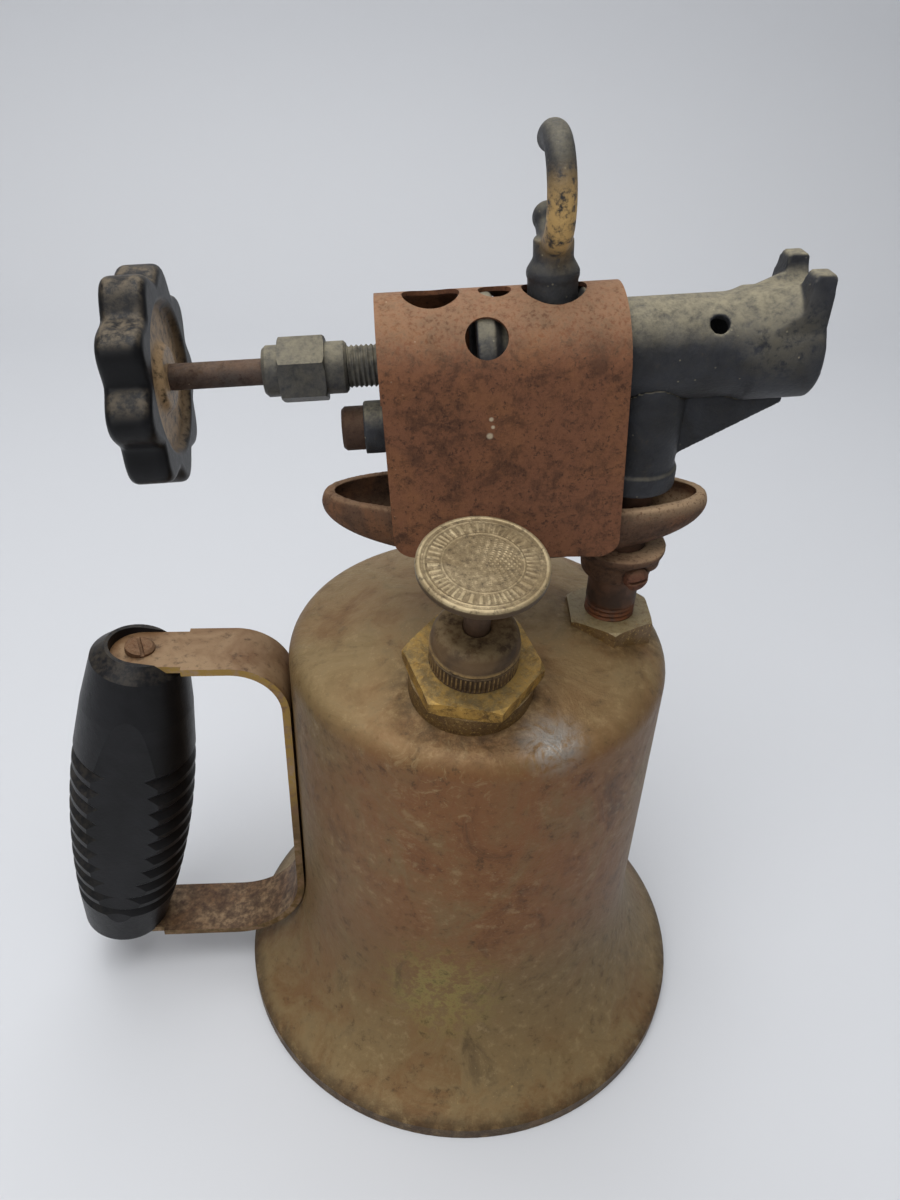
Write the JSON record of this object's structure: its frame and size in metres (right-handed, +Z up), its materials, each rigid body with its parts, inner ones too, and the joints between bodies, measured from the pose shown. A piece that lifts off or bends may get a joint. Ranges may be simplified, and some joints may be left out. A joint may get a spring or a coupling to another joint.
{
  "type": "gasoline blow torch",
  "caption": "Brass blow torch with a bell-shaped fuel tank, hand air pump, side handle and a hooded burner with a needle valve and horned nozzle, as used for soldering and paint stripping.",
  "frame": {"origin": "centre of the tank's base rim, on the surface that the torch stands on", "axes": "+Z up, +X towards the burner nozzle with the handle on -X, -Y towards the pump"},
  "size_m": [0.2031, 0.146, 0.268],
  "materials": {
    "tank_brass": "tarnished brown, satin",
    "fitting_brass": "worn brass, dark in the corners",
    "knob_brass": "dull tarnished brass",
    "cap_brass": "dark brown with dust",
    "plunger_brass": "plain brass",
    "bright_steel": "plain steel",
    "screw_steel": "rusty steel",
    "pump_leather": "oiled leather",
    "valve_rubber": "matte",
    "strap_brass": "brown with bright edges",
    "black_plastic": "dusty black",
    "black_pipe": "nearly black",
    "rusty_iron": "brown rust",
    "rusty_sheet": "brown rust",
    "cast_bronze": "dark grey, dusty on top",
    "rusty_stem": "brown rust",
    "packing": "woven cord"
  },
  "bodies": {
    "tank": {"tank_shell": "tank_brass", "tank_bottom": "tank_brass", "filler_bushing": "fitting_brass", "pump_collar": "fitting_brass", "pump_barrel": "fitting_brass", "burner_bushing": "fitting_brass", "pump_cap": "cap_brass", "check_valve_case": "plunger_brass", "jet": "plunger_brass", "check_valve_spring": "bright_steel", "handle_screw": "screw_steel", "handle_strap": "strap_brass", "handle_grip": "black_plastic", "standpipe": "black_pipe", "drip_cup": "rusty_iron", "cup_screw": "rusty_iron", "cleanout_plug": "rusty_iron", "hood": "rusty_sheet", "burner_tube": "cast_bronze", "burner_casting": "cast_bronze", "packing_nut": "cast_bronze", "hook": "cast_bronze", "packing_gland": "cast_bronze", "stuffing_nipple": "cast_bronze", "packing_ring": "packing"},
    "filler_gasket": {"filler_gasket": "pump_leather"},
    "filler_plug": {"filler_plug": "fitting_brass"},
    "pump_plunger": {"pump_rod": "bright_steel", "pump_knob": "knob_brass", "plunger_washer": "plunger_brass", "pump_leather": "pump_leather", "plunger_disc": "plunger_brass", "plunger_nut": "plunger_brass"},
    "check_valve": {"check_valve_disc": "valve_rubber"},
    "valve_needle": {"valve_needle": "bright_steel"},
    "handwheel": {"valve_stem": "rusty_stem", "handwheel": "black_plastic", "handwheel_screw": "bright_steel"}
  },
  "joints": [
    {"name": "filler_plug_drop", "type": "slide", "parent": "tank", "child": "filler_gasket", "axis": [0, 0, -1], "range_m": [0, 0.0081]},
    {"name": "filler_plug_turn", "type": "hinge", "parent": "filler_gasket", "child": "filler_plug", "pos_m": [0, 0, 0.01], "axis": [0, 0, -1], "range_deg": [0, 1620]},
    {"name": "pump_slide", "type": "slide", "parent": "tank", "child": "pump_plunger", "axis": [0, -0.225, 0.9744], "range_m": [-0.015, 0.06]},
    {"name": "check_valve_lift", "type": "slide", "parent": "tank", "child": "check_valve", "axis": [0, 0.225, -0.9744], "range_m": [0, 0.003], "stiffness_N_per_m": 40, "springref_m": -0.002, "deforming": ["check_valve_spring"]},
    {"name": "needle_slide", "type": "slide", "parent": "tank", "child": "valve_needle", "axis": [-0.9975, 0, -0.0705], "range_m": [0, 0.002]},
    {"name": "handwheel_turn", "type": "hinge", "parent": "valve_needle", "child": "handwheel", "pos_m": [0, 0, 0.2169], "axis": [-0.9975, 0, -0.0705], "range_deg": [0, 720]}
  ],
  "couplings": [
    {"joint": "filler_plug_drop", "follows": "filler_plug_turn", "m_per_rad": 0.00028648},
    {"joint": "needle_slide", "follows": "handwheel_turn", "m_per_rad": 0.00015915}
  ]
}
